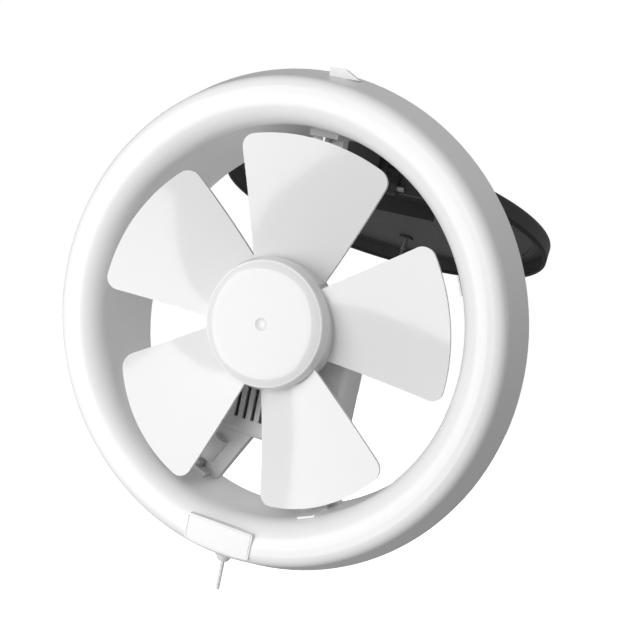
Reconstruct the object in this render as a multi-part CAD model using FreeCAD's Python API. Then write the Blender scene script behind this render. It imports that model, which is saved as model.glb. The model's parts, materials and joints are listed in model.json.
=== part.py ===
"""Round window exhaust fan: ring, sleeve, impeller, motor, pull switch and a hinged shutter flap.

Millimetres. The fan's axis is Y and its front faces -Y. X points to the viewer's right and Z up.
The origin is on the fan's axis, in the plane of the ring's back edge, which meets the wall.
"""
import FreeCAD, Part
import math
import os

V = FreeCAD.Vector
AXIS = V(0, 1, 0)
UP = V(0, 0, 1)
SIDE = V(1, 0, 0)

# Impeller, whose sweep is the main size
BLADE_TIP_R = 97.9
BLADE_COUNT = 5
BLADE_FIRST_ANGLE = 85.5
BLADE_FRONT_ROOT = 19.4
BLADE_FRONT_TIP = 43.2
BLADE_BACK_ROOT = 22.1
BLADE_BACK_TIP = 43.0
BLADE_SUNK = 11.0
BLADE_TIP_CORNER = 7.0
BLADE_SPARE = 1.1
BLADE_T = 2.0
BLADE_CAMBER = 1.0
BLADE_BOW = 1.8
BLADE_ROOT_Y = -5.5
BLADE_TIP_Y = -12.2
ROOT_SLOPE = 0.292
TIP_SLOPE = 0.174
HUB_R = 35.0
HUB_WALL = 2.2
HUB_JOINT = -13.0
HUB_WEB_SET = 4.0
HUB_BACK = 2.0
HUB_TAPER = 0.5
HUB_BOSS_BACK = 11.0
HUB_RIB_T = 2.0
HUB_BOSS_WALL = 5.0
CAP_WALL = 2.0
CAP_CROWN = 0.3
CAP_ROUND = 9.0
CAP_LIP_IN = 2.0
CAP_LIP_SET = 5.4
CAP_BULGE = 0.38
CAP_EDGE_R = 1.0
CAP_ROOM = 3.4
DIMPLE_R = 3.5
DIMPLE_DEPTH = 0.9

# Front ring, from the throat outwards
TIP_GAP = 5.6
BELL_R = 14.0
CREST_W = 3.5
RING_EDGE_R = 6.5
RING_DRAFT = 21.0
RING_DEPTH = 20.0
WALL = 2.2
RIB_T = 1.6
RIB_COUNT = 12
BOSS_R = 4.5
BOSS_COUNT = 4
BOSS_OFFSET = 1.0
PILOT_R = 1.6
PILOT_DEPTH = 12.0
GASKET_T = 3.0
GASKET_W = 5.5

# Sleeve that passes through the wall, with its slanted back end
JOINT_Y = 6.0
COLLAR_FRONT = 1.0
COLLAR_BACK = 12.0
SLEEVE_SPARE = 5.6
SLANT = 8.8

# Small pieces on the ring
LABEL_EDGE = 9.1
LABEL_H = 15.5
LABEL_HALF_W = 19.5
LABEL_PROUD = 0.8
LABEL_CORNER_R = 1.2
LABEL_LINE_IN = 0.6
LABEL_LINE_W = 0.4
LABEL_LINE_DEPTH = 0.4
CLIP_ANGLES = (-66.0, 24.0)
CLIP_W = 10.0
CLIP_T = 0.9
CLIP_FRONT = -9.0
CLIP_BACK = 9.0
TOP_CLIP_X = 7.5
TOP_CLIP_W = 8.0
TOP_CLIP_RAMP = 9.0
TOP_CLIP_H = 3.2
TOP_CLIP_PROUD = 1.6
TOP_CLIP_FRONT = -7.0
TOP_CLIP_BACK = -1.0

# Motor: a small laminated frame with the rotor near its top and one coil on its bottom limb
SHAFT_R = 4.0
SHAFT_STUB = 1.5
RUN_FIT = 0.05
NUT_WALL = 3.5
NUT_T = 4.5
BEARING_WALL = 4.0
BEARING_T = 5.0
BEARING_SEAT = 2.5
CORE_GAP = 1.0
CORE_T = 10.0
REAR_BEARING_GAP = 0.5
ROTOR_R = 12.0
AIR_GAP = 0.4
STATOR_SIDE = 13.6
STATOR_RISE = 4.6
STATOR_DROP = 6.6
WINDOW_H = 16.0
WINDOW_HALF_W = 13.0
LIMB_H = 11.0
COIL_PLAY = 1.0
COIL_WRAP = 3.5
COIL_FIT = 0.2
COIL_ROOM = 0.5
STATOR_POST_R = 3.6
STATOR_POST_INSET = 4.5

# Motor holder: a vented box on three flat arms
BOX_SIDE = 13.5
BOX_RISE = 4.0
BOX_DROP = 24.0
HUB_GAP = 4.0
BOX_WALL = 2.0
BOX_CORNER_R = 8.0
BOX_EDGE_R = 4.0
SLOT_COUNT = 9
SLOT_PITCH = 5.1
SLOT_W = 2.2
SLOT_RISE = 9.8
SLOT_L = 22.2
ARM_ANGLE = 118.2
ARM_OFFSET = 11.9
ARM_W = 25.0
TOP_ARM_W = 18.0
ARM_SET = 2.0
ARM_T = 3.0
ARM_RIB = 2.0
ARM_RIB_DEPTH = 4.0
FOOT_T = 3.0
FOOT_HALF_ANGLE = 4.6
FOOT_AHEAD = 7.0
FOOT_BEHIND = 5.0
SCREW_R = 1.5
SCREW_STOP = 2.0
SCREW_HEAD_R = 2.6
SCREW_HEAD_T = 2.0
WASHER_RIM = 0.2
WASHER_T = 0.8
WASHER_GAP = 0.1
POST_R = 3.6
POST_INSET = 6.0
WIRE_COVER_R = 4.5
WIRE_COVER_L = 15.0
WIRE_COVER_GAP = 9.0
WIRE_COVER_END = 0.5
REAR_PLATE_T = 2.0
GLAND_X = 25.0
GLAND_Z = -30.0
GLAND_BORE = 3.2
GLAND_WALL = 1.8
GLAND_FLANGE = 1.5
TERMINALS = (20.0, 10.0, 11.0)
TERMINALS_X = 8.0
TERMINALS_RISE = 6.0

# Pull switch and its cord, in the bottom of the ring
CORD_R = 1.15
CORD_FREE = 16.9
CORD_FIT = 0.3
GROMMET_WALL = 1.3
GROMMET_FLANGE_W = 1.65
GROMMET_FLANGE_T = 2.5
GROMMET_TAPER = 1.5
SWITCH_HALF_W = 9.0
SWITCH_SETBACK = 7.5
SWITCH_GASKET_GAP = 0.5
SWITCH_SEAT = 0.5
SWITCH_HEADROOM = 2.6
SWITCH_WALL = 2.0
SWITCH_GAP = 0.2
SWITCH_ROTOR_H = 2.5
PLUNGER_R = 3.0
PLUNGER_H = 3.5
SPRING_PLAY = 0.4
SPRING_BORE_FIT = 0.5

# Shutter flap and its hinge
HINGE_DROP = 20.5
HINGE_INSET = 2.4
PIN_R = 1.5
PIN_END = 4.5
FLAP_OPEN_ANGLE = 73.2
FLAP_LIP = 1.3
FLAP_DEPTH = 12.0
FLAP_RIM = 2.2
FLAP_FLOOR = 2.5
FLAP_EDGE_R = 2.0
FLAP_CHORD = 5.5
FLAP_GAP = 0.3
SEAL_T = 2.0
BEAD_INSET = 12.0
BEAD_W = 2.0
BEAD_H = 0.8
KNUCKLE_R = 4.0
KNUCKLE_W = 9.0
KNUCKLE_GAP = 4.0
KNUCKLE_REACH = 32.0
CROSS_RIB_AT = 61.0
CROSS_RIB_HALF = 38.0
CROSS_RIB_T = 3.0
CROSS_RIB_GAP = 0.6
STRIKER_X = -2.0
STRIKER_OUT = 62.5
STRIKER_BOSS_R = 5.0
STRIKER_BOSS_H = 1.5
STRIKER_R = 1.8
STRIKER_H = 14.5
STRIKER_TIP_R = 1.3
STRIKER_TIP_H = 7.0
HOOD_T = 3.0
HOOD_LOW = 2.0
HOOD_NOTCH = 13.0
HOOD_NOTCH_FIT = 0.6
LUG_X = 14.0
LUG_W = 9.0
LUG_R = 4.0
LUG_RISE = 17.0
CATCH_PLAY = 1.4
CATCH_WALL = 1.4
CATCH_FLANGE = 1.0
CATCH_DEPTH = 3.0

# Impeller and ring, worked out from the sizes above
BLADE_ROOT_R = HUB_R - BLADE_SUNK
HUB_BOSS_R = SHAFT_R + HUB_BOSS_WALL
HUB_WEB = HUB_JOINT + HUB_WEB_SET
SHAFT_FRONT = HUB_WEB - NUT_T - SHAFT_STUB
CAP_FRONT = SHAFT_FRONT - CAP_ROOM - CAP_WALL
CAP_LIP_R = HUB_R - CAP_LIP_IN
CAP_LIP_Y = HUB_JOINT - CAP_LIP_SET
DIMPLE_BALL_R = (DIMPLE_R ** 2 + DIMPLE_DEPTH ** 2) / (2 * DIMPLE_DEPTH)
CAP_FLAT_R = HUB_R - CAP_ROUND
NUT_R = SHAFT_R + NUT_WALL
THROAT_R = BLADE_TIP_R + TIP_GAP
SLEEVE_R = THROAT_R + WALL
COLLAR_R = SLEEVE_R + WALL
CREST_IN = THROAT_R + BELL_R
CREST_OUT = CREST_IN + CREST_W
RING_SLOPE = math.tan(math.radians(RING_DRAFT))
RING_R = (CREST_OUT + RING_EDGE_R / math.cos(math.radians(RING_DRAFT))
          + (RING_DEPTH - RING_EDGE_R) * RING_SLOPE)
WALL_ACROSS = WALL / math.cos(math.radians(RING_DRAFT))
BOSS_CIRCLE_R = CREST_IN + BOSS_OFFSET
LABEL_R_OUT = RING_R - LABEL_EDGE
LABEL_TOP = LABEL_R_OUT - LABEL_H
FAR = 4 * RING_R

# Motor and holder, worked out from the sizes above
BEARING_R = SHAFT_R + BEARING_WALL
BOX_FRONT = HUB_BOSS_BACK + HUB_GAP
CORE_FRONT = BOX_FRONT + BOX_WALL + BEARING_T + CORE_GAP
CORE_BACK = CORE_FRONT + CORE_T
BOX_BACK = CORE_BACK + COIL_WRAP + COIL_ROOM
SHAFT_BACK = CORE_BACK + REAR_BEARING_GAP + BEARING_T
BORE_R = ROTOR_R + AIR_GAP
STATOR_HALF_W = BORE_R + STATOR_SIDE
STATOR_TOP = BORE_R + STATOR_RISE
WINDOW_TOP = -(BORE_R + STATOR_DROP)
LIMB_TOP = WINDOW_TOP - WINDOW_H
STATOR_BOTTOM = LIMB_TOP - LIMB_H
COIL_HALF_W = WINDOW_HALF_W - COIL_PLAY
BOX_HALF_W = STATOR_HALF_W + BOX_SIDE
BOX_TOP = STATOR_TOP + BOX_RISE
BOX_BOTTOM = STATOR_BOTTOM - BOX_DROP
SLOT_LOW = BOX_BOTTOM + SLOT_RISE
SLOT_HIGH = SLOT_LOW + SLOT_L
ARM_FRONT = BOX_FRONT + ARM_SET
WASHER_R = SCREW_HEAD_R + WASHER_RIM
FOOT_SCREW_Y = ARM_FRONT - WASHER_R - WASHER_GAP
FOOT_FRONT = ARM_FRONT - FOOT_AHEAD
FOOT_BACK = ARM_FRONT + FOOT_BEHIND
WIRE_COVER_FROM = WIRE_COVER_GAP - BOX_BOTTOM
WIRE_COVER_REACH = THROAT_R - FOOT_T - WIRE_COVER_END
GLAND_R = GLAND_BORE + GLAND_WALL
SLEEVE_DEPTH = BOX_BACK + SLEEVE_SPARE

# Switch, cord and flap, worked out from the sizes above
SWITCH_FRONT = -RING_DEPTH + SWITCH_SETBACK
SWITCH_BACK = -GASKET_T - SWITCH_GASKET_GAP
CORD_Y = (SWITCH_FRONT + SWITCH_BACK) / 2
SWITCH_LOW = -(RING_R - WALL_ACROSS + SWITCH_FRONT * RING_SLOPE - SWITCH_SEAT)
SWITCH_TOP = -(SLEEVE_R + SWITCH_HEADROOM)
ROTOR_TOP = SWITCH_TOP - SWITCH_WALL - SWITCH_GAP
PLUNGER_TOP = ROTOR_TOP - SWITCH_ROTOR_H - SWITCH_GAP
PLUNGER_LOW = PLUNGER_TOP - PLUNGER_H
SPRING_R = PLUNGER_R - SPRING_PLAY
SPRING_BORE = CORD_R + SPRING_BORE_FIT
GROMMET_R = CORD_R + CORD_FIT + GROMMET_WALL
GROMMET_FLANGE_R = GROMMET_R + GROMMET_FLANGE_W
CORD_WALL_R = RING_R + CORD_Y * RING_SLOPE
GROMMET_LOW = -(CORD_WALL_R + GROMMET_FLANGE_T)
CORD_LOW = GROMMET_LOW - CORD_FREE
HINGE_RISE = THROAT_R - HINGE_DROP
FLAP_R = SLEEVE_R + FLAP_LIP
BEAD_R = FLAP_R - BEAD_INSET
SEAL_FRONT = HINGE_INSET + FLAP_GAP
RIM_FRONT = SEAL_FRONT + SEAL_T
FLAP_BACK = SEAL_FRONT + FLAP_DEPTH
FLOOR_FRONT = FLAP_BACK - FLAP_FLOOR
KNUCKLE_X = LUG_X + (LUG_W + KNUCKLE_W) / 2 + KNUCKLE_GAP
PIN_HALF = KNUCKLE_X + KNUCKLE_W / 2 + PIN_END
CATCH_BORE = STRIKER_R + CATCH_PLAY
CATCH_R = CATCH_BORE + CATCH_WALL
HINGE = V(0, SLEEVE_DEPTH + HINGE_RISE * math.sin(math.radians(SLANT))
          - HINGE_INSET * math.cos(math.radians(SLANT)),
          HINGE_RISE * math.cos(math.radians(SLANT)) + HINGE_INSET * math.sin(math.radians(SLANT)))


def polar(radius, degrees, y=0.0):
    """Point at a radius and an angle about the fan's axis; 0 is +X and 90 is +Z."""
    a = math.radians(degrees)
    return V(radius * math.cos(a), y, radius * math.sin(a))


def line(a, b):
    return Part.LineSegment(a, b).toShape()


def arc(a, middle, b):
    return Part.Arc(a, middle, b).toShape()


def loop(points):
    return Part.makePolygon(list(points) + [points[0]])


def box(x0, x1, y0, y1, z0, z1):
    return Part.makeBox(x1 - x0, y1 - y0, z1 - z0, V(x0, y0, z0))


def rod(radius, y0, y1, x=0.0, z=0.0):
    """Cylinder along the fan's axis."""
    return Part.makeCylinder(radius, y1 - y0, V(x, y0, z), AXIS)


def tube(outer, inner, y0, y1, x=0.0, z=0.0):
    return rod(outer, y0, y1, x, z).cut(rod(inner, y0, y1, x, z))


def post(radius, z0, z1, y=CORD_Y):
    """Upright cylinder on the pull cord's line."""
    return Part.makeCylinder(radius, z1 - z0, V(0, y, z0), UP)


def spin(edges):
    """Solid of revolution about the fan's axis from edges in the plane of X and Y."""
    return Part.Face(Part.Wire(edges)).revolve(V(0, 0, 0), AXIS, 360)


def sector(r0, r1, centre, half, y0, y1):
    """Part of a ring, half degrees to each side of an angle, between two depths."""
    low, high = centre - half, centre + half
    edges = [arc(polar(r1, low, y0), polar(r1, centre, y0), polar(r1, high, y0)),
             line(polar(r1, high, y0), polar(r0, high, y0)),
             arc(polar(r0, high, y0), polar(r0, centre, y0), polar(r0, low, y0)),
             line(polar(r0, low, y0), polar(r1, low, y0))]
    return Part.Face(Part.Wire(edges)).extrude(V(0, y1 - y0, 0))


def turned(shape, degrees):
    """Copy turned about the fan's axis, with positive angles from +X to +Z."""
    copy = shape.copy()
    copy.rotate(V(0, 0, 0), AXIS, -degrees)
    return copy


def joined(shapes):
    first = shapes[0]
    return first.multiFuse(shapes[1:]).removeSplitter() if len(shapes) > 1 else first


def radial(radius, r0, r1, degrees, y):
    """Cylinder along a radius of the fan."""
    start = polar(r0, degrees, y)
    return Part.makeCylinder(radius, r1 - r0, start, polar(1.0, degrees))


def on_hinge(shape, degrees):
    """Set a piece that was drawn about the hinge line at an angle: 0 hangs straight down."""
    copy = shape.copy()
    copy.rotate(V(0, 0, 0), SIDE, degrees)
    copy.translate(HINGE)
    return copy


def along_y(shape):
    """Straight edges parallel to the fan's axis."""
    found = []
    for edge in shape.Edges:
        way = edge.tangentAt(edge.FirstParameter)
        if isinstance(edge.Curve, Part.Line) and abs(way.y) > 0.999:
            found.append(edge)
    return found


def save(name, shape):
    solids = shape.Solids
    assert solids and shape.isValid(), name
    whole = solids[0] if len(solids) == 1 else Part.makeCompound(solids)
    whole.exportStep(os.path.join("parts", name + ".step"))
    print(name, len(solids), round(sum(s.Volume for s in solids)))


def ring_wall(inset, y):
    """Radius of the ring's drafted outer wall at a depth, set in by an amount."""
    return RING_R - inset / math.cos(math.radians(RING_DRAFT)) + y * RING_SLOPE


def ring_skin(inset, back_in, back_out):
    """Edges of the ring's front surface, set in by an amount, from the throat round to the outer wall."""
    crest = -RING_DEPTH + inset
    bell, edge = BELL_R - inset, RING_EDGE_R - inset
    bell_y, edge_y = -RING_DEPTH + BELL_R, -RING_DEPTH + RING_EDGE_R
    half = math.sqrt(0.5)
    throat = THROAT_R + inset
    turn = math.radians(90 - RING_DRAFT)
    bend = V(CREST_OUT + edge * math.sin(turn / 2), edge_y - edge * math.cos(turn / 2), 0)
    end = V(CREST_OUT + edge * math.sin(turn), edge_y - edge * math.cos(turn), 0)
    return [line(V(throat, back_in, 0), V(throat, bell_y, 0)),
            arc(V(throat, bell_y, 0), V(CREST_IN - bell * half, bell_y - bell * half, 0),
                V(CREST_IN, crest, 0)),
            line(V(CREST_IN, crest, 0), V(CREST_OUT, crest, 0)),
            arc(V(CREST_OUT, crest, 0), bend, end),
            line(end, V(ring_wall(inset, back_out), back_out, 0))]


def ring_block():
    """The ring as a filled body, for what seats on its front."""
    skin = ring_skin(0.0, 0.0, 0.0)
    return spin(skin + [line(V(RING_R, 0, 0), V(THROAT_R, 0, 0))])


def front_ring():
    """Hollow moulded ring with a bell mouth, ribs and four screw bosses inside."""
    outside = ring_skin(0.0, JOINT_Y, 0.0)
    inside = ring_skin(WALL, JOINT_Y, 0.0)
    shell = spin(outside + [line(V(RING_R, 0, 0), V(ring_wall(WALL, 0.0), 0, 0))] + inside[::-1]
                 + [line(V(SLEEVE_R, JOINT_Y, 0), V(THROAT_R, JOINT_Y, 0))])
    rooted = WALL / 2
    web = ring_skin(rooted, -GASKET_T, -GASKET_T)
    web.append(line(V(ring_wall(rooted, -GASKET_T), -GASKET_T, 0), V(THROAT_R + rooted, -GASKET_T, 0)))
    rib = Part.Face(Part.Wire(web)).extrude(V(0, 0, RIB_T))
    rib.translate(V(0, 0, -RIB_T / 2))
    step = 360 / RIB_COUNT
    parts = [shell] + [turned(rib, (i + 0.5) * step) for i in range(RIB_COUNT)]
    for angle in boss_angles():
        at = polar(BOSS_CIRCLE_R, angle)
        parts.append(rod(BOSS_R, -RING_DEPTH + rooted, 0, at.x, at.z))
    ring = joined(parts)
    for angle in boss_angles():
        at = polar(BOSS_CIRCLE_R, angle)
        ring = ring.cut(rod(PILOT_R, -PILOT_DEPTH, 0, at.x, at.z))
    return ring.cut(post(GROMMET_R, -RING_R - WALL, SWITCH_LOW))


def boss_angles():
    return [(i + 0.5) * 360 / BOSS_COUNT for i in range(BOSS_COUNT)]


def behind_sleeve():
    """Everything behind the slanted end of the sleeve."""
    block = box(-FAR, FAR, 0, FAR, -FAR, FAR)
    block.rotate(V(0, 0, 0), SIDE, -SLANT)
    block.translate(V(0, SLEEVE_DEPTH, 0))
    return block


def foot_angles():
    """Where the three arms of the motor holder meet the sleeve."""
    lean = math.degrees(math.asin(ARM_OFFSET / THROAT_R))
    return (90.0, -ARM_ANGLE + lean, -180 + ARM_ANGLE - lean)


def wall_sleeve():
    """Tube through the wall, with a collar round the ring's throat and a slanted back end."""
    body = tube(SLEEVE_R, THROAT_R, JOINT_Y, FAR / 4).cut(behind_sleeve())
    body = joined([body, tube(COLLAR_R, SLEEVE_R, COLLAR_FRONT, COLLAR_BACK)])
    for angle in foot_angles():
        body = body.cut(radial(SCREW_R + RUN_FIT, THROAT_R - FOOT_T, COLLAR_R + WALL, angle, FOOT_SCREW_Y))
    return body


def wall_gasket():
    outer = ring_wall(WALL, -GASKET_T)
    return tube(outer, outer - GASKET_W, -GASKET_T, 0)


def label_plate():
    """Bare plate on the ring's crest: straight top and sides, round foot and a fine line round it."""
    front = -RING_DEPTH - LABEL_PROUD
    block = box(-LABEL_HALF_W, LABEL_HALF_W, front, -RING_DEPTH / 2, -FAR, -LABEL_TOP)
    block = block.common(rod(LABEL_R_OUT, front, 0))
    block = block.makeFillet(LABEL_CORNER_R, along_y(block))
    face = [f for f in block.Faces if f.BoundBox.YMax < front + 1e-3][0]
    line_out = face.makeOffset2D(-LABEL_LINE_IN).extrude(V(0, LABEL_LINE_DEPTH, 0))
    line_in = face.makeOffset2D(-LABEL_LINE_IN - LABEL_LINE_W).extrude(V(0, LABEL_LINE_DEPTH, 0))
    return block.cut(ring_block()).cut(line_out.cut(line_in))


def sleeve_clips():
    half = math.degrees(CLIP_W / 2 / THROAT_R)
    return Part.makeCompound([sector(THROAT_R - CLIP_T, THROAT_R, angle, half, CLIP_FRONT, CLIP_BACK)
                              for angle in CLIP_ANGLES])


def top_clip():
    """Small ramped tab on top of the ring's outer wall."""
    x0, x1 = TOP_CLIP_X - TOP_CLIP_W / 2, TOP_CLIP_X + TOP_CLIP_W / 2
    low, high = RING_R - TOP_CLIP_H, RING_R + TOP_CLIP_PROUD
    points = [V(x0, TOP_CLIP_FRONT, low), V(x0, TOP_CLIP_FRONT, high), V(x1, TOP_CLIP_FRONT, high),
              V(x1 + TOP_CLIP_RAMP, TOP_CLIP_FRONT, low)]
    tab = Part.Face(loop(points)).extrude(V(0, TOP_CLIP_BACK - TOP_CLIP_FRONT, 0))
    return tab.cut(ring_block())


def blade_edges(share):
    """Reach of a blade's front and back edges to the sides of its line, from hub at 0 to tip at 1."""
    front = BLADE_FRONT_ROOT + share * (BLADE_FRONT_TIP - BLADE_FRONT_ROOT)
    back = BLADE_BACK_ROOT + share * (BLADE_BACK_TIP - BLADE_BACK_ROOT)
    return front, back


def blade_corner(root, tip):
    """Where a straight blade edge meets the tip circle, as side reach and height."""
    side, rise = tip - root, BLADE_TIP_R - HUB_R
    a = side ** 2 + rise ** 2
    b = root * side + HUB_R * rise
    c = root ** 2 + HUB_R ** 2 - BLADE_TIP_R ** 2
    share = (math.sqrt(b * b - a * c) - b) / a
    return root + share * side, HUB_R + share * rise


def blade_section(r):
    """Closed outline of the blade's skin at a height on its line: sloped, cambered and bowed."""
    share = (r - HUB_R) / (BLADE_TIP_R - HUB_R)
    front, back = blade_edges(share)
    slope = ROOT_SLOPE + share * (TIP_SLOPE - ROOT_SLOPE)
    middle = BLADE_ROOT_Y + share * (BLADE_TIP_Y - BLADE_ROOT_Y) + 4 * BLADE_BOW * share * (1 - share)
    half = BLADE_SPARE * (front + back) / 2
    rows = []
    for side in (-0.5, 0.5):
        row = []
        for k in (-1.0, -0.5, 0.0, 0.5, 1.0):
            y = middle - k * half * slope - BLADE_CAMBER * (1 - k * k) + side * BLADE_T
            row.append(V((back - front) / 2 - k * half, y, r))
        rows.append(row)
    edges = []
    for row in rows:
        curve = Part.BSplineCurve()
        curve.interpolate(row)
        edges.append(curve.toShape())
    ahead, behind = rows
    return Part.Wire([edges[0], line(ahead[-1], behind[-1]), edges[1], line(behind[0], ahead[0])])


def blade():
    """One twisted blade that points up, trimmed to its outline with rounded tip corners."""
    steps = 4
    rise = BLADE_TIP_R + WALL - BLADE_ROOT_R
    sections = [blade_section(BLADE_ROOT_R + i / steps * rise) for i in range(steps + 1)]
    skin = Part.makeLoft(sections, True, False)
    front, front_z = blade_corner(BLADE_FRONT_ROOT, BLADE_FRONT_TIP)
    back, back_z = blade_corner(BLADE_BACK_ROOT, BLADE_BACK_TIP)
    left, right = V(-front, -FAR, front_z), V(back, -FAR, back_z)
    front, back = blade_edges((BLADE_ROOT_R - HUB_R) / (BLADE_TIP_R - HUB_R))
    root_left, root_right = V(-front, -FAR, BLADE_ROOT_R), V(back, -FAR, BLADE_ROOT_R)
    outline = Part.Wire([line(root_left, left), arc(left, V(0, -FAR, BLADE_TIP_R), right),
                         line(right, root_right), line(root_right, root_left)])
    prism = Part.Face(outline).extrude(V(0, 2 * FAR, 0))
    corners = [e for e in along_y(prism) if e.CenterOfMass.z > (BLADE_ROOT_R + BLADE_TIP_R) / 2]
    prism = prism.makeFillet(BLADE_TIP_CORNER, corners)
    return skin.common(prism).cut(hub_cone(HUB_WALL / 2))


def hub_cone(inset):
    """The hub barrel as a filled body that narrows to the back, set in by an amount."""
    wide = HUB_R - inset
    return Part.makeCone(wide, wide - HUB_TAPER, HUB_BACK - HUB_JOINT, V(0, HUB_JOINT, 0), AXIS)


def impeller():
    """Hub barrel with a front web, a centre boss and its ribs, and the blades around it."""
    barrel = hub_cone(0.0).cut(hub_cone(HUB_WALL))
    web = rod(HUB_R, HUB_WEB, HUB_WEB + HUB_WALL).common(hub_cone(HUB_WALL / 2))
    boss = rod(HUB_BOSS_R, HUB_WEB, HUB_BOSS_BACK)
    rib = box(0, HUB_R, HUB_WEB, HUB_BACK - HUB_WALL, -HUB_RIB_T / 2, HUB_RIB_T / 2)
    rib = rib.common(hub_cone(HUB_WALL / 2))
    one = blade()
    pitch = 360 / BLADE_COUNT
    blades = [turned(one, BLADE_FIRST_ANGLE - 90 + i * pitch) for i in range(BLADE_COUNT)]
    ribs = [turned(rib, BLADE_FIRST_ANGLE + i * pitch) for i in range(BLADE_COUNT)]
    whole = joined([barrel, web, boss] + ribs + blades)
    return whole.cut(rod(SHAFT_R, -FAR, FAR))


def hub_cap():
    """Cap with a flat face that bends to a lip, leaning sides and a small dimple in its middle."""
    edges = []
    for inset in (0.0, CAP_WALL):
        flat = V(CAP_FLAT_R, CAP_FRONT + CAP_CROWN + inset, 0)
        lip = V(CAP_LIP_R - inset, CAP_LIP_Y + inset, 0)
        bend = (flat + lip) / 2 - V(0, CAP_BULGE, 0)
        edges.append([line(V(0, CAP_FRONT + inset, 0), flat), arc(flat, bend, lip),
                      line(lip, V(HUB_R - inset, HUB_JOINT, 0))])
    outer, inner = edges
    close = [line(V(HUB_R, HUB_JOINT, 0), V(HUB_R - CAP_WALL, HUB_JOINT, 0))]
    middle = [line(V(0, CAP_FRONT + CAP_WALL, 0), V(0, CAP_FRONT, 0))]
    cap = spin(outer + close + inner[::-1] + middle)
    rim = [e for e in cap.Edges if e.BoundBox.YLength < 1e-3 and abs(e.BoundBox.YMin - CAP_LIP_Y) < 1e-3]
    cap = cap.makeFillet(CAP_EDGE_R, rim)
    return cap.cut(Part.makeSphere(DIMPLE_BALL_R, V(0, CAP_FRONT + DIMPLE_DEPTH - DIMPLE_BALL_R, 0)))


def hexagon(radius, y0, y1):
    points = [polar(radius, 60 * i, y0) for i in range(6)]
    return Part.Face(loop(points)).extrude(V(0, y1 - y0, 0))


def shaft_nut():
    return hexagon(NUT_R, HUB_WEB - NUT_T, HUB_WEB).cut(rod(SHAFT_R, -FAR, FAR))


def bearing(front):
    return tube(BEARING_R, SHAFT_R + RUN_FIT, front, front + BEARING_T)


def stator_posts():
    x = STATOR_HALF_W - STATOR_POST_INSET
    return [(side * x, z) for side in (-1, 1)
            for z in (STATOR_TOP - STATOR_POST_INSET, STATOR_BOTTOM + STATOR_POST_INSET)]


def stator_stack():
    """Laminated frame with the rotor's bore, a window and a bottom limb that carries the coil."""
    core = box(-STATOR_HALF_W, STATOR_HALF_W, CORE_FRONT, CORE_BACK, STATOR_BOTTOM, STATOR_TOP)
    core = core.cut(rod(BORE_R, CORE_FRONT, CORE_BACK))
    core = core.cut(box(-WINDOW_HALF_W, WINDOW_HALF_W, CORE_FRONT, CORE_BACK,
                        LIMB_TOP, WINDOW_TOP))
    for x, z in stator_posts():
        core = core.cut(rod(SCREW_R + RUN_FIT, CORE_FRONT, CORE_BACK, x, z))
    return core


def stator_coil():
    """Wound block round the bottom limb."""
    low, high = STATOR_BOTTOM, LIMB_TOP
    outer = box(-COIL_HALF_W, COIL_HALF_W, CORE_FRONT - COIL_WRAP, CORE_BACK + COIL_WRAP,
                low - COIL_WRAP, high + COIL_WRAP)
    outer = outer.makeFillet(COIL_WRAP / 2, [e for e in outer.Edges if e.BoundBox.XLength > COIL_HALF_W])
    return outer.cut(box(-FAR, FAR, CORE_FRONT - COIL_FIT, CORE_BACK + COIL_FIT,
                         low - COIL_FIT, high + COIL_FIT))


def stator_screws():
    screws = []
    for x, z in stator_posts():
        shank = rod(SCREW_R, BOX_FRONT + BOX_WALL + SCREW_STOP, CORE_BACK, x, z)
        screws.append(joined([shank, rod(SCREW_HEAD_R, CORE_BACK, CORE_BACK + SCREW_HEAD_T, x, z)]))
    return Part.makeCompound(screws)


def box_block(inset, front, back):
    """Block with rounded corners, the outline of the motor box set in by an amount."""
    block = box(-BOX_HALF_W + inset, BOX_HALF_W - inset, front, back, BOX_BOTTOM + inset, BOX_TOP - inset)
    return block.makeFillet(BOX_CORNER_R - inset, along_y(block))


def post_places():
    x = BOX_HALF_W - POST_INSET
    return [(sx * x, z) for sx in (-1, 1) for z in (BOX_BOTTOM + POST_INSET, BOX_TOP - POST_INSET)]


def arm_bar(offset, width, front, back, degrees):
    """Flat bar along a radius, set aside from it by an offset to the right when it points up."""
    bar = box(offset - width / 2, offset + width / 2, front, back, 0, FAR)
    return turned(bar, degrees - 90)


def arm(offset, width, degrees):
    """Flat arm with a stiffening rib along each edge."""
    rib_at = (width - ARM_RIB) / 2
    back = ARM_FRONT + ARM_T
    bars = [arm_bar(offset, width, ARM_FRONT, back, degrees)]
    bars += [arm_bar(offset + side * rib_at, ARM_RIB, back, back + ARM_RIB_DEPTH, degrees)
             for side in (-1, 1)]
    return joined(bars)


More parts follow.
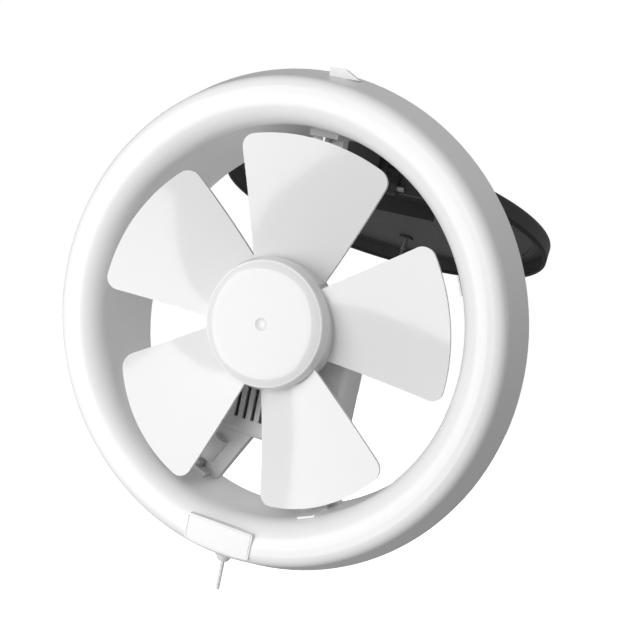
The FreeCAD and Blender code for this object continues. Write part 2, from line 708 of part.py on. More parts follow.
def motor_holder():
    """Vented box with posts and a bearing seat inside, on three arms with feet on the sleeve."""
    outer = box_block(0.0, BOX_FRONT, BOX_BACK)
    rim = [e for e in outer.Edges if abs(e.BoundBox.YMax - BOX_FRONT) < 1e-6]
    outer = outer.makeFillet(BOX_EDGE_R, rim)
    hollow = box_block(BOX_WALL, BOX_FRONT + BOX_WALL, BOX_BACK)
    arms = joined([arm(0.0, TOP_ARM_W, 90.0), arm(-ARM_OFFSET, ARM_W, -ARM_ANGLE),
                   arm(ARM_OFFSET, ARM_W, -180 + ARM_ANGLE)])
    arms = arms.common(rod(THROAT_R, 0, FAR))
    feet = [sector(THROAT_R - FOOT_T, THROAT_R, angle, FOOT_HALF_ANGLE, FOOT_FRONT, FOOT_BACK)
            for angle in foot_angles()]
    nose = rod(BEARING_R + BEARING_SEAT, BOX_FRONT, BOX_FRONT + BOX_WALL + BEARING_T)
    posts = [rod(POST_R, BOX_FRONT + BOX_WALL, BOX_BACK, x, z) for x, z in post_places()]
    posts += [rod(STATOR_POST_R, BOX_FRONT + BOX_WALL, CORE_FRONT, x, z) for x, z in stator_posts()]
    shell = joined([outer, arms] + feet).cut(hollow)
    whole = joined([shell, nose] + posts)
    whole = whole.cut(rod(BEARING_R, BOX_FRONT + BOX_WALL, FAR / 2))
    whole = whole.cut(rod(SHAFT_R + BEARING_SEAT, 0, FAR / 2))
    for x, z in post_places() + stator_posts():
        whole = whole.cut(rod(SCREW_R + RUN_FIT, BOX_FRONT + BOX_WALL + SCREW_STOP, FAR, x, z))
    for i in range(SLOT_COUNT):
        x = (i - (SLOT_COUNT - 1) / 2) * SLOT_PITCH
        whole = whole.cut(box(x - SLOT_W / 2, x + SLOT_W / 2, 0, ARM_FRONT + ARM_T, SLOT_LOW, SLOT_HIGH))
    for angle in foot_angles():
        whole = whole.cut(radial(SCREW_R + RUN_FIT, THROAT_R - 2 * FOOT_T, SLEEVE_R, angle, FOOT_SCREW_Y))
    return whole


def catch_place():
    """Where the striker's tip enters the rear plate when the flap is shut."""
    lean = math.radians(SLANT)
    root = HINGE - V(0, math.sin(lean), math.cos(lean)) * (HINGE_RISE + STRIKER_OUT)
    return STRIKER_X, root.z - (BOX_BACK - root.y) * math.tan(lean)


def motor_rear_cover():
    """Flat vented plate that closes the box, with a cup for the rear bearing."""
    back = BOX_BACK + REAR_PLATE_T
    plate = joined([box_block(0.0, BOX_BACK, back),
                    rod(BEARING_R + BEARING_SEAT, SHAFT_BACK - BEARING_T, SHAFT_BACK + REAR_PLATE_T)])
    plate = plate.cut(rod(BEARING_R, 0, SHAFT_BACK))
    for x, z in post_places():
        plate = plate.cut(rod(SCREW_R + RUN_FIT, BOX_BACK, back, x, z))
    for i in range(SLOT_COUNT):
        x = (i - (SLOT_COUNT - 1) / 2) * SLOT_PITCH
        plate = plate.cut(box(x - SLOT_W / 2, x + SLOT_W / 2, BOX_BACK, back, STATOR_BOTTOM, WINDOW_TOP))
    x, z = catch_place()
    plate = plate.cut(rod(CATCH_R, BOX_BACK, back, x, z))
    return plate.cut(rod(GLAND_R, BOX_BACK, back, GLAND_X, GLAND_Z))


def cable_gland():
    """Open rubber gland in the rear plate, where a supply lead can enter."""
    body = rod(GLAND_R, BOX_BACK, BOX_BACK + REAR_PLATE_T, GLAND_X, GLAND_Z)
    back = BOX_BACK + REAR_PLATE_T
    flange = rod(GLAND_R + GLAND_FLANGE, back, back + GLAND_FLANGE, GLAND_X, GLAND_Z)
    return joined([body, flange]).cut(rod(GLAND_BORE, 0, FAR, GLAND_X, GLAND_Z))


def cover_screws():
    back = BOX_BACK + REAR_PLATE_T
    screws = []
    for x, z in post_places():
        shank = rod(SCREW_R, BOX_FRONT + BOX_WALL + SCREW_STOP, back, x, z)
        screws.append(joined([shank, rod(SCREW_HEAD_R, back, back + SCREW_HEAD_T, x, z)]))
    return Part.makeCompound(screws)


def holder_screws():
    inner = THROAT_R - FOOT_T - WASHER_T
    screws = []
    for angle in foot_angles():
        head = radial(SCREW_HEAD_R, inner - SCREW_HEAD_T, inner, angle, FOOT_SCREW_Y)
        screws.append(joined([head, radial(SCREW_R, inner, SLEEVE_R, angle, FOOT_SCREW_Y)]))
    return Part.makeCompound(screws)


def foot_washers():
    inner = THROAT_R - FOOT_T - WASHER_T
    washers = []
    for angle in foot_angles():
        disc = radial(WASHER_R, inner, THROAT_R - FOOT_T / 2, angle, FOOT_SCREW_Y)
        disc = disc.cut(radial(SCREW_R + RUN_FIT, inner, THROAT_R, angle, FOOT_SCREW_Y))
        seat = sector(THROAT_R - FOOT_T, THROAT_R, angle, 2 * FOOT_HALF_ANGLE, 0, SLEEVE_DEPTH)
        washers.append(disc.cut(seat))
    return Part.makeCompound(washers)


def wire_cover():
    """Half-round cover for the wires along the front of the lower left arm."""
    cover = Part.makeCylinder(WIRE_COVER_R, WIRE_COVER_L, V(-ARM_OFFSET, ARM_FRONT, WIRE_COVER_FROM), UP)
    cover = cover.cut(box(-FAR, FAR, ARM_FRONT, FAR, 0, FAR))
    return turned(cover.common(rod(WIRE_COVER_REACH, 0, FAR)), -ARM_ANGLE - 90)


def box_piece(size, x, z):
    """Block inside the motor box that stands on the rear plate."""
    width, depth, height = size
    return box(x, x + width, BOX_BACK - depth, BOX_BACK, z, z + height)


def pull_switch():
    """Switch case in the ring's hollow, with a bore for its plunger."""
    case = box(-SWITCH_HALF_W, SWITCH_HALF_W, SWITCH_FRONT, SWITCH_BACK, SWITCH_LOW, SWITCH_TOP)
    case = case.cut(post(PLUNGER_R + RUN_FIT, SWITCH_LOW + SWITCH_WALL, SWITCH_TOP - SWITCH_WALL))
    return case.cut(post(CORD_R + CORD_FIT, SWITCH_LOW, SWITCH_TOP - SWITCH_WALL))


def switch_rotor():
    """Six-sided contact carrier that the plunger turns a step at a time."""
    points = []
    for i in range(6):
        a = math.radians(60 * i)
        points.append(V(PLUNGER_R * math.cos(a), CORD_Y + PLUNGER_R * math.sin(a),
                        ROTOR_TOP - SWITCH_ROTOR_H))
    return Part.Face(loop(points)).extrude(V(0, 0, SWITCH_ROTOR_H))


def switch_spring():
    low = SWITCH_LOW + SWITCH_WALL
    return post(SPRING_R, low, PLUNGER_LOW).cut(post(SPRING_BORE, low, PLUNGER_LOW))


def cord_grommet():
    """Bush through the ring's wall, with a flange outside that narrows to its foot."""
    inner = -ring_wall(WALL, CORD_Y)
    foot, rise = GROMMET_FLANGE_R - GROMMET_TAPER, inner - GROMMET_LOW
    flange = Part.makeCone(foot, foot + rise * GROMMET_TAPER / GROMMET_FLANGE_T, rise,
                           V(0, CORD_Y, GROMMET_LOW), V(0, 0, 1)).cut(ring_block())
    body = post(GROMMET_R, GROMMET_LOW, inner)
    return joined([flange, body]).cut(post(CORD_R + CORD_FIT, GROMMET_LOW, 0))


def flap_dish():
    """Shallow round dish cut straight at the hinge, with two knuckles on arms and a boss for the striker."""
    half = math.sqrt(0.5)
    r, e = FLAP_R, FLAP_EDGE_R
    points = [V(0, FLOOR_FRONT, 0), V(r - FLAP_RIM, FLOOR_FRONT, 0), V(r - FLAP_RIM, RIM_FRONT, 0),
              V(r, RIM_FRONT, 0), V(r, FLAP_BACK - e, 0)]
    edges = [line(a, b) for a, b in zip(points, points[1:])]
    edges.append(arc(points[-1], V(r - e + e * half, FLAP_BACK - e + e * half, 0), V(r - e, FLAP_BACK, 0)))
    edges += [line(V(r - e, FLAP_BACK, 0), V(0, FLAP_BACK, 0)), line(V(0, FLAP_BACK, 0), points[0])]
    dish = spin(edges)
    bead = tube(BEAD_R + BEAD_W, BEAD_R, FLOOR_FRONT - BEAD_H, FLOOR_FRONT)
    boss = rod(STRIKER_BOSS_R, FLOOR_FRONT - STRIKER_BOSS_H, FLOOR_FRONT, STRIKER_X, -STRIKER_OUT)
    dish = joined([dish, bead, boss])
    dish.translate(V(0, 0, -HINGE_RISE))
    dish = dish.cut(box(-FAR, FAR, -FAR, FAR, -FLAP_CHORD, FAR))
    arms = []
    for side in (-1, 1):
        x0 = side * KNUCKLE_X - KNUCKLE_W / 2
        corners = [V(x0, -KNUCKLE_R, 0), V(x0, FLOOR_FRONT, -KNUCKLE_REACH), V(x0, FLOOR_FRONT, -FLAP_CHORD),
                   V(x0, KNUCKLE_R * half, KNUCKLE_R * half)]
        web = Part.Face(loop(corners)).extrude(V(KNUCKLE_W, 0, 0))
        arms += [web, Part.makeCylinder(KNUCKLE_R, KNUCKLE_W, V(x0, 0, 0), SIDE)]
    rib = box(-CROSS_RIB_HALF, CROSS_RIB_HALF, SEAL_FRONT + CROSS_RIB_GAP, FLOOR_FRONT,
              -CROSS_RIB_AT - CROSS_RIB_T, -CROSS_RIB_AT)
    flap = joined([dish, rib] + arms)
    return flap.cut(Part.makeCylinder(PIN_R + RUN_FIT, 2 * FAR, V(-FAR, 0, 0), SIDE))


def flap_seal():
    seal = tube(FLAP_R, FLAP_R - FLAP_RIM, SEAL_FRONT, RIM_FRONT, 0, -HINGE_RISE)
    return seal.cut(box(-FAR, FAR, -FAR, FAR, -FLAP_CHORD, FAR))


def striker_pin():
    """Stepped steel pin on the flap's boss."""
    root = FLOOR_FRONT - STRIKER_BOSS_H
    z = -HINGE_RISE - STRIKER_OUT
    thick = rod(STRIKER_R, root - STRIKER_H + STRIKER_TIP_H, root, STRIKER_X, z)
    return joined([thick, rod(STRIKER_TIP_R, root - STRIKER_H, root, STRIKER_X, z)])


def hinge_hood():
    """Fixed segment over the top of the sleeve's end, notched for the flap's knuckles."""
    plate = rod(SLEEVE_R, HINGE_INSET, HINGE_INSET + HOOD_T, 0, -HINGE_RISE)
    plate = plate.cut(box(-FAR, FAR, -FAR, FAR, -FAR, -HOOD_LOW))
    for side in (-1, 1):
        x0 = side * KNUCKLE_X - KNUCKLE_W / 2 - HOOD_NOTCH_FIT
        plate = plate.cut(box(x0, x0 + KNUCKLE_W + 2 * HOOD_NOTCH_FIT, 0, FAR, -FAR, HOOD_NOTCH))
    return plate


def hinge_brackets():
    """Two dark lugs on the front of the hood that hold the hinge pin."""
    lugs = []
    for side in (-1, 1):
        x0 = side * LUG_X - LUG_W / 2
        lug = joined([box(x0, x0 + LUG_W, -LUG_R, HINGE_INSET, 0, LUG_RISE),
                      Part.makeCylinder(LUG_R, LUG_W, V(x0, 0, 0), SIDE)])
        lug = lug.cut(box(-FAR, FAR, HINGE_INSET, FAR, -FAR, FAR))
        lugs.append(lug.cut(Part.makeCylinder(PIN_R, 2 * FAR, V(-FAR, 0, 0), SIDE)))
    return Part.makeCompound(lugs)


def hinge_pin():
    return Part.makeCylinder(PIN_R, 2 * PIN_HALF, V(-PIN_HALF, 0, 0), SIDE)


def flap_catch():
    """Bush in the rear plate that the striker's tip enters when the flap is shut."""
    x, z = catch_place()
    back = BOX_BACK + REAR_PLATE_T
    body = rod(CATCH_R, BOX_BACK - CATCH_DEPTH, back, x, z)
    flange = rod(CATCH_R + CATCH_FLANGE, back, back + CATCH_FLANGE, x, z)
    return joined([body, flange]).cut(rod(CATCH_BORE, 0, FAR, x, z))


def all_pieces():
    plain = {
        "front_ring": front_ring(), "wall_sleeve": wall_sleeve(), "wall_gasket": wall_gasket(),
        "label_plate": label_plate(), "sleeve_clips": sleeve_clips(), "top_clip": top_clip(),
        "impeller": impeller(), "hub_cap": hub_cap(), "shaft_nut": shaft_nut(),
        "motor_shaft": rod(SHAFT_R, SHAFT_FRONT, SHAFT_BACK),
        "rotor_core": tube(ROTOR_R, SHAFT_R, CORE_FRONT, CORE_BACK),
        "front_bearing": bearing(BOX_FRONT + BOX_WALL),
        "rear_bearing": bearing(SHAFT_BACK - BEARING_T),
        "stator_stack": stator_stack(), "stator_coil": stator_coil(), "stator_screws": stator_screws(),
        "motor_holder": motor_holder(), "motor_rear_cover": motor_rear_cover(),
        "cover_screws": cover_screws(), "holder_screws": holder_screws(), "foot_washers": foot_washers(),
        "wire_cover": wire_cover(), "cable_gland": cable_gland(),
        "terminal_block": box_piece(TERMINALS, TERMINALS_X, BOX_BOTTOM + TERMINALS_RISE),
        "pull_switch": pull_switch(), "switch_rotor": switch_rotor(),
        "switch_plunger": post(PLUNGER_R, PLUNGER_LOW, PLUNGER_TOP),
        "switch_spring": switch_spring(), "cord_grommet": cord_grommet(),
        "pull_cord": post(CORD_R, CORD_LOW, PLUNGER_LOW),
        "flap_catch": flap_catch(),
    }
    hung = {"flap_dish": (flap_dish(), FLAP_OPEN_ANGLE), "flap_seal": (flap_seal(), FLAP_OPEN_ANGLE),
            "striker_pin": (striker_pin(), FLAP_OPEN_ANGLE), "hinge_hood": (hinge_hood(), -SLANT),
            "hinge_pin": (hinge_pin(), -SLANT), "hinge_brackets": (hinge_brackets(), -SLANT)}
    for name, (shape, degrees) in hung.items():
        plain[name] = on_hinge(shape, degrees)
    return plain


os.makedirs("parts", exist_ok=True)
print("hinge line", [round(v, 3) for v in HINGE], "flap travel", -(FLAP_OPEN_ANGLE + SLANT))
for piece_name, piece in all_pieces().items():
    save(piece_name, piece)
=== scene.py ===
"""Looks of the round exhaust fan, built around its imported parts.

Metres, in the parts' own frame: the fan's axis is Y, its front faces -Y and Z is up.
"""
import json
import math
import bpy
import numpy as np
from mathutils import Matrix


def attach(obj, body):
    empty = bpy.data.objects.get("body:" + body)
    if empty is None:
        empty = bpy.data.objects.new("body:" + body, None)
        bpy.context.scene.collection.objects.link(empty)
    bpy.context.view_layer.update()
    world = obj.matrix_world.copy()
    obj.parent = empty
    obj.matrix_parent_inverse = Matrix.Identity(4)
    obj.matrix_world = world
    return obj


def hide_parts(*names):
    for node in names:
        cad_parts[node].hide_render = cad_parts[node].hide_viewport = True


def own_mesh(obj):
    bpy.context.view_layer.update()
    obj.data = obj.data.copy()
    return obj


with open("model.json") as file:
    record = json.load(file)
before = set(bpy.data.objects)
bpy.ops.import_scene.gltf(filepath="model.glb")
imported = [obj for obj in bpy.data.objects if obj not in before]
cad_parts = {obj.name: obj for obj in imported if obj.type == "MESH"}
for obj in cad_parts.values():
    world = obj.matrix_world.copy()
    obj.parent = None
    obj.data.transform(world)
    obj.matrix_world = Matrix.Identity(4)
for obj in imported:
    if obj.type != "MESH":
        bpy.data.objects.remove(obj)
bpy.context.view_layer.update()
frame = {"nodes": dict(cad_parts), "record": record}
NODES = frame["nodes"]

# Camera, in the parts' frame
CAMERA_AT = (0.20829, -0.47039, 0.07581)
CAMERA_RIGHT = (0.9005, 0.3838, 0.2046)
CAMERA_BACK = (0.3625, -0.9222, 0.1348)
CAMERA_NEAR = 0.01
IMAGE_SIDE = 640
FOCAL_PIXELS = 975.65
SENSOR = 36.0

# Pull cord, from the switch plunger to its blunt end
CORD_DIAMETER = 0.0023
CORD_POINTS = [(0, -0.008, -0.1167), (0, -0.008, -0.1276), (0, -0.008, -0.1385), (0, -0.008, -0.14947)]
STRAND_PITCH = 0.0035
STRAND_CLIMB = 2500.0

# Switch spring, wound round the cord
SPRING_FOOT = (0.0, -0.008, -0.12349)
SPRING_HEIGHT = 0.00679
SPRING_MEAN_R = 0.0022
SPRING_WIRE_R = 0.0002
SPRING_TURNS = 4
SPRING_STEPS = 48
SPRING_FLAT_ENDS = 0.8

# Foam strip behind the ring
GASKET_R = 0.12689
GASKET_HALF_WIDE = 0.00275
GASKET_HALF_DEEP = 0.0015
GASKET_STEPS = 240
GASKET_UNEVEN = 0.00008

# Soft rim on the flap, in the flap's own frame at its hinge
HINGE = (0.0, 0.052926, 0.08239)
FLAP_LEAN = math.radians(73.2)
SEAL_CENTRE_Z = -0.083
SEAL_MEAN_R = 0.1059
SEAL_HALF_WIDE = 0.0011
SEAL_MEAN_Y = 0.0037
SEAL_HALF_DEEP = 0.001
SEAL_TOP_Z = -0.0057
SEAL_STEPS = 200

# Motor coil, wound round the lower limb of the sheets
COIL_CENTRE = (0.0, 0.028, -0.0405)
COIL_HALF_LONG = 0.012
COIL_BORE_HALF = (0.0052, 0.0057)
COIL_WRAP = 0.0033
COIL_TURNS = 30
COIL_WIRE_RISE = 0.0003
COIL_STEPS = 96
COIL_BORE_STEPS = 9
COIL_SQUARE = 1.5
COIL_WIRE_PITCH = 0.0006

# Sheets of the motor's frame
SHEET_PITCH = 0.0005

# Painted highlight on the hub cap: a lighter band at the radius where its face turns to the side
PAINTED_HIGHLIGHT_R = 0.0328
PAINTED_HIGHLIGHT_HALF_WIDE = 0.0008

# Studio: each lamp has its name, place, side, power and whether gloss shows it
LAMPS = [
    ("front_left_box", (-0.3, -0.6, -0.1), 0.58, 3.4, True),
    ("front_top_fill", (0.0, -0.75, 0.35), 0.5, 1.9, False),
    ("back_panel", (0.0, 0.32, -0.03), 0.2, 0.5, False),
    ("rear_top_box", (0.3, 0.9, 0.55), 0.6, 5.0, False),
]
ROOM_LIGHT = (0.27, 0.27, 0.27, 1)
WHITE = (1, 1, 1, 1)
FLOOR_Z = -0.1515
FLOOR_HALF = 0.6
FLOOR_GLOW = 0.75

EDGE_ANGLE = math.radians(40)
ROUND = 2 * math.pi


class Value:
    """A shader value. Operators on it add Math nodes to its tree."""

    def __init__(self, tree, socket):
        self.tree = tree
        self.socket = socket

    def math(self, operation, *values):
        return self.tree.node("ShaderNodeMath", {"operation": operation}, dict(enumerate(values)))

    def __add__(self, other):
        return self.math("ADD", self, other)

    def __radd__(self, other):
        return self.math("ADD", other, self)

    def __sub__(self, other):
        return self.math("SUBTRACT", self, other)

    def __rsub__(self, other):
        return self.math("SUBTRACT", other, self)

    def __mul__(self, other):
        return self.math("MULTIPLY", self, other)

    def __rmul__(self, other):
        return self.math("MULTIPLY", other, self)

    def __truediv__(self, other):
        return self.math("DIVIDE", self, other)

    def __rtruediv__(self, other):
        return self.math("DIVIDE", other, self)

    def wave(self):
        """Sine of the value, brought between 0 and 1."""
        return self.math("SINE", self) * 0.5 + 0.5

    def root(self):
        return self.math("SQRT", self)

    def near(self, middle, reach):
        """1 where the value is at the middle, falling to 0 at the reach to each side."""
        away = self.math("ABSOLUTE", self - middle)
        return self.math("MAXIMUM", 1.0 - away / reach, 0.0)


class Tree:
    """Shader nodes of a material or of the world."""

    def __init__(self, owner):
        owner.use_nodes = True
        self.nodes = owner.node_tree.nodes
        self.links = owner.node_tree.links

    def node(self, kind, settings=None, inputs=None, out=0):
        """Add a node, set its settings, fill its sockets and return one of its outputs."""
        made = self.nodes.new(kind)
        for name, value in (settings or {}).items():
            setattr(made, name, value)
        for key, value in (inputs or {}).items():
            self.feed(made.inputs[key], value)
        return Value(self, made.outputs[out])

    def feed(self, socket, value):
        if isinstance(value, Value):
            self.links.new(value.socket, socket)
        else:
            socket.default_value = value


class Finish(Tree):
    """A material being made: its nodes, its shader and the places on the piece."""

    def __init__(self, name, colour, rough, **constants):
        self.material = bpy.data.materials.new(name)
        super().__init__(self.material)
        self.shader = self.nodes["Principled BSDF"]
        self.colour = colour
        self.shader.inputs["Base Color"].default_value = (*colour, 1.0)
        self.shader.inputs["Roughness"].default_value = rough
        for socket, value in constants.items():
            self.shader.inputs[socket.replace("_", " ").title()].default_value = value
        self.place = self.node("ShaderNodeTexCoord", out="Object")

    def noise(self, scale, detail=2.0):
        inputs = {"Vector": self.place, "Scale": scale, "Detail": detail}
        return self.node("ShaderNodeTexNoise", {}, inputs)

    def axes(self):
        """The place on the piece as three values."""
        x = self.node("ShaderNodeSeparateXYZ", {}, {0: self.place})
        return [Value(self, socket) for socket in x.socket.node.outputs]

    def tint(self, share, other):
        """Base colour that goes from the main colour to another by a share from 0 to 1."""
        inputs = {0: share, 6: (*self.colour, 1.0), 7: (*other, 1.0)}
        mix = self.node("ShaderNodeMix", {"data_type": "RGBA"}, inputs, out=2)
        self.feed(self.shader.inputs["Base Color"], mix)

    def rough(self, value):
        self.feed(self.shader.inputs["Roughness"], value)

    def bump(self, height, depth):
        """Relief of a height from 0 to 1 that is so many metres deep."""
        inputs = {"Height": height, "Distance": depth, "Strength": 1.0}
        self.feed(self.shader.inputs["Normal"], self.node("ShaderNodeBump", {}, inputs))


def moulded(name, colour, shade, rough, grain_scale, grain_depth):
    """Moulded plastic: fine grain, faint flow shading and uneven gloss."""
    made = Finish(name, colour, rough)
    made.tint(made.noise(14.0, 3.0), shade)
    made.rough(rough - 0.05 + made.noise(60.0, 4.0) * 0.1)
    made.bump(made.noise(grain_scale, 3.0), grain_depth)
    return made.material


def cap_with_painted_highlight(name, colour, shade, rough):
    """The blades' plastic with a painted highlight where the cap's face turns to the side.

    The base colour turns to a lighter grey in a narrow band at that radius: a painted highlight. The band is
    also a little less rough.
    """
    made = Finish(name, colour, rough)
    x, _, z = made.axes()
    painted_highlight_band = (x * x + z * z).root().near(PAINTED_HIGHLIGHT_R, PAINTED_HIGHLIGHT_HALF_WIDE)
    # Painted highlight: the base colour goes to the lighter grey in the band, plus a little random tone
    # everywhere.
    made.tint(painted_highlight_band * 0.9 + made.noise(14.0, 3.0) * 0.1, shade)
    made.rough(rough + made.noise(60.0, 4.0) * 0.03 - painted_highlight_band * 0.03)
    made.bump(made.noise(1500.0, 3.0), 0.000002)
    return made.material


def steel(name, colour, rough):
    """Plated steel with fine turned scratches round the fan's axis."""
    made = Finish(name, colour, rough, metallic=1.0)
    _, y, _ = made.axes()
    scratch = made.noise(900.0, 2.0)
    made.tint(made.noise(120.0, 4.0), tuple(0.7 * c for c in colour))
    made.rough(rough - 0.06 + scratch * 0.16)
    made.bump((y * 9000.0).wave() * 0.5 + scratch * 0.5, 0.00002)
    return made.material


def stacked_sheets(name):
    """Stamped steel sheets, stacked along the fan's axis."""
    made = Finish(name, (0.13, 0.13, 0.135), 0.5, metallic=0.8)
    _, y, _ = made.axes()
    sheet = (y * (ROUND / SHEET_PITCH)).wave()
    made.tint(made.noise(200.0, 4.0) * sheet, (0.3, 0.25, 0.2))
    made.rough(0.4 + made.noise(300.0) * 0.25)
    made.bump(sheet, 0.0001)
    return made.material


def wound_copper(name):
    """Varnished copper wire, wound round the limb of the frame."""
    made = Finish(name, (0.3, 0.1, 0.03), 0.35, metallic=0.9)
    x, _, _ = made.axes()
    turn = (x * (ROUND / COIL_WIRE_PITCH)).wave()
    made.tint(turn * 0.6 + made.noise(150.0) * 0.3, (0.45, 0.18, 0.06))
    made.rough(0.25 + made.noise(400.0) * 0.2)
    made.bump(turn, 0.0003)
    return made.material


def twisted_cord(name):
    """White twisted yarn: strands that climb round the cord."""
    made = Finish(name, (0.88, 0.88, 0.87), 0.75)
    x, _, z = made.axes()
    strand = (z * (ROUND / STRAND_PITCH) + x * STRAND_CLIMB).wave()
    made.tint(strand * 0.7 + made.noise(3000.0) * 0.3, (0.76, 0.76, 0.75))
    made.rough(0.65 + made.noise(2500.0) * 0.2)
    made.bump(strand, 0.0002)
    return made.material


def grey(light):
    return (light, light, light)


FINISHES = {
    "white_housing": moulded("white_housing", grey(0.88), grey(0.86), 0.22, 2600.0, 0.000008),
    "white_blade": moulded("white_blade", grey(0.76), grey(0.74), 0.09, 1500.0, 0.000002),
    "label_grey": moulded("label_grey", grey(0.9), grey(0.88), 0.3, 3200.0, 0.00001),
    "grey_holder": moulded("grey_holder", grey(0.66), grey(0.6), 0.45, 2000.0, 0.00004),
    "black_flap": moulded("black_flap", grey(0.042), grey(0.055), 0.5, 1800.0, 0.00005),
    "foam_rubber": moulded("foam_rubber", grey(0.025), grey(0.045), 0.85, 1200.0, 0.0003),
    "bright_steel": steel("bright_steel", (0.62, 0.62, 0.63), 0.28),
    "motor_steel": stacked_sheets("motor_steel"),
    "coil_copper": wound_copper("coil_copper"),
    "cord_white": twisted_cord("cord_white"),
}
# The second colour here, light grey 0.97, is the painted highlight on the cap's edge.
PAINTED_HIGHLIGHT_CAP_FINISH = cap_with_painted_highlight("white_cap_painted_highlight", grey(0.76), grey(0.97), 0.08)
SLOT_OF = {row["node"]: row["material_slot"] for row in frame["record"]["subparts"]}


def dress(thing, finish):
    thing.data.materials.clear()
    thing.data.materials.append(finish)


def pull_cord():
    """Cord that hangs from the switch plunger through the grommet."""
    curve = bpy.data.curves.new("hanging_cord", "CURVE")
    curve.dimensions = "3D"
    curve.bevel_depth = CORD_DIAMETER / 2
    curve.bevel_resolution = 6
    curve.resolution_u = 24
    curve.use_fill_caps = True
    line = curve.splines.new("NURBS")
    line.points.add(len(CORD_POINTS) - 1)
    for point, place in zip(line.points, CORD_POINTS):
        point.co = (*place, 1.0)
    line.order_u = 3
    line.use_endpoint_u = True
    cord = bpy.data.objects.new("hanging_cord", curve)
    bpy.context.scene.collection.objects.link(cord)
    dress(cord, FINISHES["cord_white"])
    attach(cord, "pull")
    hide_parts("pull_cord")


def skin(name, grid, body, node, closed):
    """Skin over a grid of points, with one row for each section along the piece.

    Quads join neighbours round a section and from section to section. Open ends get one polygon each.
    Where the faces point at the middles of their sections, all of them are turned over.
    """
    rows, columns = grid.shape[:2]
    here = np.arange(rows * columns).reshape(rows, columns)
    quads = np.stack([here, np.roll(here, -1, 1), np.roll(here, (-1, -1), (0, 1)), np.roll(here, -1, 0)], -1)
    corners = grid.reshape(-1, 3)
    if not closed:
        quads = quads[:-1]
    first, second, third = (corners[quads[..., i]] for i in range(3))
    outwards = first - grid.mean(1)[:len(quads), None]
    faces = quads.reshape(-1, 4).tolist()
    if not closed:
        faces += [here[0, ::-1].tolist(), here[-1].tolist()]
    if (np.cross(second - first, third - first) * outwards).sum() < 0:
        faces = [face[::-1] for face in faces]
    mesh = bpy.data.meshes.new(name)
    mesh.from_pydata(corners.tolist(), [], faces)
    mesh.shade_smooth()
    mesh.set_sharp_from_angle(angle=EDGE_ANGLE)
    made = bpy.data.objects.new(name, mesh)
    bpy.context.scene.collection.objects.link(made)
    dress(made, FINISHES[SLOT_OF[node]])
    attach(made, body)
    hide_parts(node)
    return made


def rounded(half_wide, half_deep, count, power):
    """Rounded rectangle: cosine and sine of the turn, each drawn out by a power of at most one."""
    turn = np.linspace(0, ROUND, count, endpoint=False)
    wide = half_wide * np.sign(np.cos(turn)) * np.abs(np.cos(turn)) ** power
    deep = half_deep * np.sign(np.sin(turn)) * np.abs(np.sin(turn)) ** power
    return wide, deep


def switch_spring():
    """Wire carried along a helix: its round section stands on the radius and the upright.

    The rise along the helix is slow at both ends, so that the end turns lie flat.
    """
    turn = np.linspace(0, ROUND * SPRING_TURNS, SPRING_STEPS * SPRING_TURNS)[:, None]
    share = turn / turn[-1]
    rise = share - SPRING_FLAT_ENDS * np.sin(ROUND * share) / ROUND
    wide, deep = rounded(SPRING_WIRE_R, SPRING_WIRE_R, 12, 1.0)
    reach = SPRING_MEAN_R + wide
    height = SPRING_WIRE_R + rise * (SPRING_HEIGHT - 2 * SPRING_WIRE_R) + deep
    grid = np.stack([reach * np.cos(turn), reach * np.sin(turn), height], -1) + SPRING_FOOT
    spring = skin("wound_spring", grid, "housing", "switch_spring", False)
    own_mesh(spring)


def wall_gasket():
    """Foam strip: a rounded section carried round the fan's axis, its inner edge a little uneven."""
    turn = np.linspace(0, ROUND, GASKET_STEPS, endpoint=False)[:, None]
    wide, deep = rounded(GASKET_HALF_WIDE, GASKET_HALF_DEEP, 28, 0.4)
    uneven = GASKET_UNEVEN * (np.sin(19 * turn) + np.sin(31 * turn + 1)) * (wide < 0)
    reach = GASKET_R + wide + uneven
    grid = np.stack([reach * np.sin(turn), deep - GASKET_HALF_DEEP + 0 * reach, reach * np.cos(turn)], -1)
    skin("foam_strip", grid, "housing", "wall_gasket", True)


def flap_seal():
    """Soft rim: a rounded section carried along the flap's arc, then turned about the hinge with the flap."""
    start = math.acos((SEAL_TOP_Z - SEAL_CENTRE_Z) / (SEAL_MEAN_R - SEAL_HALF_WIDE))
    turn = np.linspace(start, ROUND - start, SEAL_STEPS)[:, None]
    wide, deep = rounded(SEAL_HALF_WIDE, SEAL_HALF_DEEP, 20, 0.6)
    reach = SEAL_MEAN_R + wide
    y = SEAL_MEAN_Y + deep + 0 * reach
    z = SEAL_CENTRE_Z + reach * np.cos(turn)
    grid = np.stack([reach * np.sin(turn), y * math.cos(FLAP_LEAN) - z * math.sin(FLAP_LEAN),
                     y * math.sin(FLAP_LEAN) + z * math.cos(FLAP_LEAN)], -1) + HINGE
    skin("soft_rim", grid, "flap", "flap_seal", False)


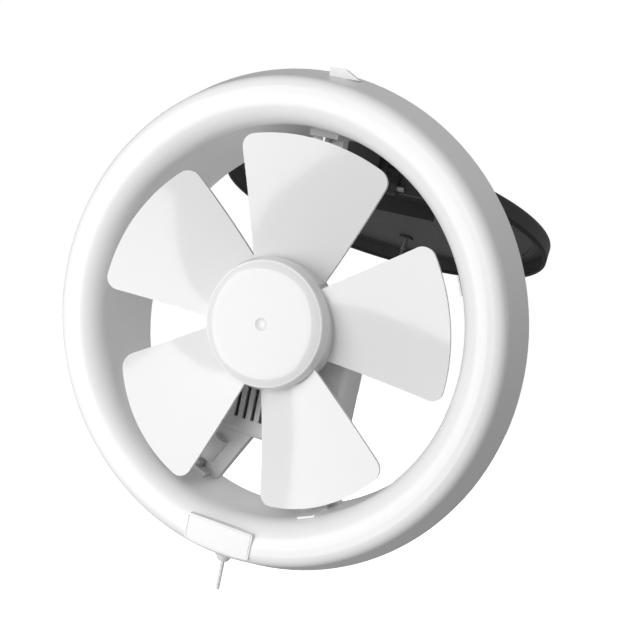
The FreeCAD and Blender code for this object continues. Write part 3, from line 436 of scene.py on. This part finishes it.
def stator_coil():
    """Winding: a bore loop that is pushed outwards by a profile which runs once round the bundle.

    The loop is a rectangle with corners rounded by the push. The profile goes along the outside in one
    small hump for each turn of wire, then back along the bore.
    """
    along = np.linspace(-1, 1, 8 * COIL_TURNS + 1)
    hump = np.abs(np.sin(np.pi * COIL_TURNS * (along + 1) / 2))
    push = np.concatenate([COIL_WRAP - COIL_WIRE_RISE * (1 - hump), np.zeros(COIL_BORE_STEPS)])
    x = np.concatenate([along, np.linspace(1, -1, COIL_BORE_STEPS)]) * COIL_HALF_LONG
    turn = np.linspace(0, ROUND, COIL_STEPS, endpoint=False)[:, None]
    side_y, side_z = COIL_BORE_HALF
    y = side_y * np.clip(COIL_SQUARE * np.cos(turn), -1, 1) + push * np.cos(turn)
    z = side_z * np.clip(COIL_SQUARE * np.sin(turn), -1, 1) + push * np.sin(turn)
    grid = np.stack([x + 0 * y, y, z], -1) + COIL_CENTRE
    skin("copper_winding", grid, "housing", "stator_coil", True)


def placed(right, back, at):
    """Matrix of a camera or lamp that looks away from its back direction, square to its right one."""
    back = np.array(back) / np.linalg.norm(back)
    right = right - back * (right @ back)
    right /= np.linalg.norm(right)
    turn = np.eye(4)
    turn[:3, :4] = np.column_stack([right, np.cross(back, right), back, at])
    return Matrix(turn.tolist())


def camera():
    """Camera at the photo's place, turned by its right and back directions."""
    lens = bpy.data.cameras.new("camera")
    lens.sensor_width = SENSOR
    lens.lens = FOCAL_PIXELS / IMAGE_SIDE * SENSOR
    lens.clip_start = CAMERA_NEAR
    made = bpy.data.objects.new("camera", lens)
    made.matrix_world = placed(np.array(CAMERA_RIGHT), CAMERA_BACK, CAMERA_AT)
    bpy.context.scene.collection.objects.link(made)
    bpy.context.scene.camera = made


def soft_box(name, at, side, power, mirrored):
    """Square lamp that faces the fan's middle. Gloss shows it only where it is mirrored."""
    lamp = bpy.data.lights.new(name, "AREA")
    lamp.shape = "SQUARE"
    lamp.size = side
    lamp.energy = power
    made = bpy.data.objects.new(name, lamp)
    made.matrix_world = placed(np.cross((0.0, 0.0, 1.0), at), at, at)
    made.visible_glossy = mirrored
    bpy.context.scene.collection.objects.link(made)


def floor():
    """Plain pale floor below the cord, which neither lights the fan nor shows in its gloss."""
    far = FLOOR_HALF
    mesh = bpy.data.meshes.new("floor")
    mesh.from_pydata([(-far, -far, FLOOR_Z), (far, -far, FLOOR_Z), (far, far, FLOOR_Z), (-far, far, FLOOR_Z)],
                     [], [(0, 1, 2, 3)])
    made = bpy.data.objects.new("floor", mesh)
    bpy.context.scene.collection.objects.link(made)
    dress(made, Finish("pale_floor", grey(0.9), 0.8, emission_color=WHITE,
                       emission_strength=FLOOR_GLOW).material)
    made.visible_diffuse = False
    made.visible_glossy = False
    made.visible_shadow = False


def studio():
    """Room that lights the fan softly and looks white to the camera, with its lamps and floor."""
    scene = bpy.context.scene
    scene.view_settings.view_transform = "Standard"
    scene.world = bpy.data.worlds.new("studio")
    room = Tree(scene.world)
    light = room.node("ShaderNodeBackground", {}, {"Color": ROOM_LIGHT})
    seen = room.node("ShaderNodeBackground", {}, {"Color": WHITE})
    to_camera = room.node("ShaderNodeLightPath", out="Is Camera Ray")
    mix = room.node("ShaderNodeMixShader", {}, {0: to_camera, 1: light, 2: seen})
    room.feed(room.nodes["World Output"].inputs["Surface"], mix)
    for lamp in LAMPS:
        soft_box(*lamp)
    floor()


for node_name, node in NODES.items():
    # The hub cap gets the finish with the painted highlight on its edge.
    dress(node, PAINTED_HIGHLIGHT_CAP_FINISH if node_name == "hub_cap" else FINISHES[SLOT_OF[node_name]])
camera()
pull_cord()
switch_spring()
wall_gasket()
flap_seal()
stator_coil()
studio()
